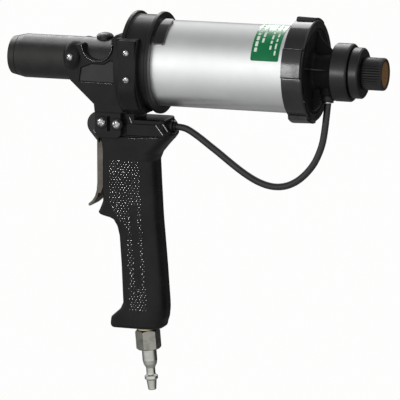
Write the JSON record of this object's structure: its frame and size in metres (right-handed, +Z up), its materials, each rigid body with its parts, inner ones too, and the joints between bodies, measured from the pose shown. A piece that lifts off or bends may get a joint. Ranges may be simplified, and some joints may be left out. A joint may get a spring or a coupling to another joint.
{
  "type": "pneumatic capping tool",
  "caption": "Hand-held pneumatic capping tool: a pistol grip and trigger under an air cylinder that drives a plunger through a tubular nose.",
  "frame": {"origin": "middle of the hand grip, on the tool's middle plane, 105 mm below the barrel axis and level with the front face of the cylinder head", "axes": "+X along the barrel from the nose to the silencer, +Z up, -Y to the operator's left when the nose points away"},
  "size_m": [0.273, 0.0814, 0.2704],
  "materials": {
    "black_plastic": "satin black moulded plastic",
    "gloss_plastic": "glossy black moulded plastic",
    "black_anodised": "black anodised, satin",
    "satin_aluminium": "smooth satin clear anodised",
    "plated_steel": "bright zinc plated",
    "lever_steel": "warm satin nickel plate",
    "plated_brass": "nickel plated",
    "sintered_bronze": "sintered, matt",
    "rubber": "matt",
    "hose_black": "smooth extruded plastic",
    "label_green": "printed film"
  },
  "bodies": {
    "tool_body": {"nose_tube": "black_anodised", "nose_ring": "black_anodised", "top_stud": "black_anodised", "housing_left": "black_plastic", "housing_right": "black_plastic", "boss_screw_left": "plated_steel", "boss_screw_right": "plated_steel", "saddle_screw_left_upper": "plated_steel", "saddle_screw_left_lower": "plated_steel", "saddle_screw_right_upper": "plated_steel", "saddle_screw_right_lower": "plated_steel", "trigger_pin": "plated_steel", "trigger_pin_nut": "plated_steel", "neck_bolt": "plated_steel", "neck_bolt_nut": "plated_steel", "front_head": "black_anodised", "rod_bush": "plated_brass", "rod_seal": "rubber", "tube_gasket": "rubber", "cylinder_tube": "satin_aluminium", "rating_label": "label_green", "return_spring": "plated_steel", "rear_plug": "black_plastic", "plug_seal": "rubber", "exhaust_valve_body": "black_plastic", "exhaust_valve_cap": "black_plastic", "grip": "black_plastic", "trigger_cowl": "black_plastic", "valve_sleeve": "plated_brass", "valve_spring": "plated_steel", "inlet_washer": "plated_brass", "hex_adaptor": "plated_steel", "inlet_filter": "sintered_bronze", "air_plug": "plated_steel", "hose_fitting_front": "black_plastic", "hose_collet_front": "black_plastic", "hose_fitting_rear": "black_plastic", "hose_collet_rear": "plated_steel", "air_hose": "hose_black"},
    "trigger_body": {"trigger": "lever_steel"},
    "spool_body": {"valve_spool": "plated_steel", "valve_seal": "rubber"},
    "piston_body": {"piston": "satin_aluminium", "piston_seal": "rubber", "piston_rod": "plated_steel", "piston_nut": "plated_steel", "plunger": "plated_steel", "plunger_pad": "rubber"},
    "lock_ring_body": {"lock_ring": "gloss_plastic"},
    "silencer_body": {"silencer_knob": "black_plastic", "silencer_disc": "sintered_bronze"},
    "diaphragm_body": {"exhaust_diaphragm": "rubber"},
    "catch_body": {"locking_catch": "gloss_plastic"}
  },
  "joints": [
    {"name": "trigger_pull", "type": "hinge", "parent": "tool_body", "child": "trigger_body", "pos_m": [-0.0201, 0, 0.0638], "axis": [0, -1, 0], "range_deg": [0, 5.5], "stiffness_Nm_per_rad": 0.8, "springref_deg": -3.44},
    {"name": "spool_slide", "type": "slide", "parent": "tool_body", "child": "spool_body", "axis": [1, 0, 0], "range_m": [0, 0.0023], "deforming": ["valve_spring"]},
    {"name": "piston_stroke", "type": "slide", "parent": "tool_body", "child": "piston_body", "axis": [-1, 0, 0], "range_m": [0, 0.046], "stiffness_N_per_m": 600, "springref_m": -0.03, "deforming": ["return_spring"]},
    {"name": "lock_ring_turn", "type": "hinge", "parent": "tool_body", "child": "lock_ring_body", "pos_m": [0.12, 0, 0.105], "axis": [1, 0, 0], "continuous": true},
    {"name": "silencer_turn", "type": "hinge", "parent": "tool_body", "child": "silencer_body", "pos_m": [0.17, 0, 0.105], "axis": [1, 0, 0], "continuous": true},
    {"name": "diaphragm_lift", "type": "slide", "parent": "tool_body", "child": "diaphragm_body", "axis": [1, 0, 0], "range_m": [0, 0.0015], "stiffness_N_per_m": 100, "springref_m": -0.001},
    {"name": "catch_slide", "type": "slide", "parent": "tool_body", "child": "catch_body", "axis": [1, 0, 0], "range_m": [0, 0.003], "stiffness_N_per_m": 500, "springref_m": -0.002}
  ],
  "couplings": [
    {"joint": "spool_slide", "follows": "trigger_pull", "m_per_rad": 0.0228}
  ]
}
